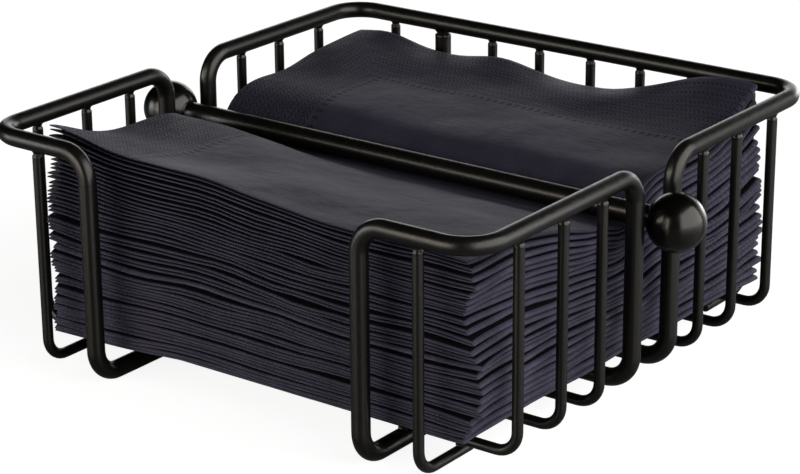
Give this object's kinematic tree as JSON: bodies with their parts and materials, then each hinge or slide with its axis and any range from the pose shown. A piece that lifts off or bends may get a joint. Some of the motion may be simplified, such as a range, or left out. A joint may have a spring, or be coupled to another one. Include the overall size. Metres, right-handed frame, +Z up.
{
  "type": "napkin dispenser",
  "caption": "Open wire tray that holds a stack of folded napkins under a loose weight bar with a ball at each end; napkins are pulled out through the front.",
  "frame": {"origin": "middle of the tray, on the surface it stands on", "axes": "+Z up; +X along the weight bar, to the right of a person at the open side; -Y is the open side, where napkins are taken"},
  "size_m": [0.219, 0.1904, 0.0786],
  "materials": {
    "black_wire": "steel wire and rod, satin black powder coat with a fine orange peel",
    "black_bar": "steel rod, satin black powder coat",
    "black_ball": "steel ball, smooth semi-gloss black coat",
    "napkin_tissue": "dark navy-charcoal tissue, matt, folded in quarters, with an embossed border of dots"
  },
  "bodies": {
    "basket": {"left_front_frame_wire": "black_wire", "right_front_frame_wire": "black_wire", "rear_frame_wire": "black_wire", "front_side_rib_inner": "black_wire", "front_side_rib_middle": "black_wire", "front_side_rib_outer": "black_wire", "rear_side_rib_inner": "black_wire", "rear_side_rib_middle": "black_wire", "rear_side_rib_outer": "black_wire", "front_rib_left": "black_wire", "front_rib_right": "black_wire", "rear_rib_1": "black_wire", "rear_rib_2": "black_wire", "rear_rib_3": "black_wire", "rear_rib_4": "black_wire", "rear_rib_5": "black_wire", "rear_rib_6": "black_wire", "napkin_pack_1": "napkin_tissue", "napkin_pack_2": "napkin_tissue", "napkin_pack_3": "napkin_tissue", "napkin_pack_4": "napkin_tissue"},
    "top_napkin": {"top_napkin": "napkin_tissue"},
    "weight_bar": {"bar_rod": "black_bar", "ball_knob_left": "black_ball", "ball_knob_right": "black_ball"}
  },
  "joints": [
    {"name": "napkin_level", "type": "slide", "parent": "basket", "child": "top_napkin", "axis": [0, 0, 1], "range_m": [-0.039, 0], "deforming": ["napkin_pack_1", "napkin_pack_2", "napkin_pack_3", "napkin_pack_4"]},
    {"name": "bar_lift", "type": "slide", "parent": "top_napkin", "child": "weight_bar", "axis": [0, 0, 1], "range_m": [0, 0.06]}
  ]
}
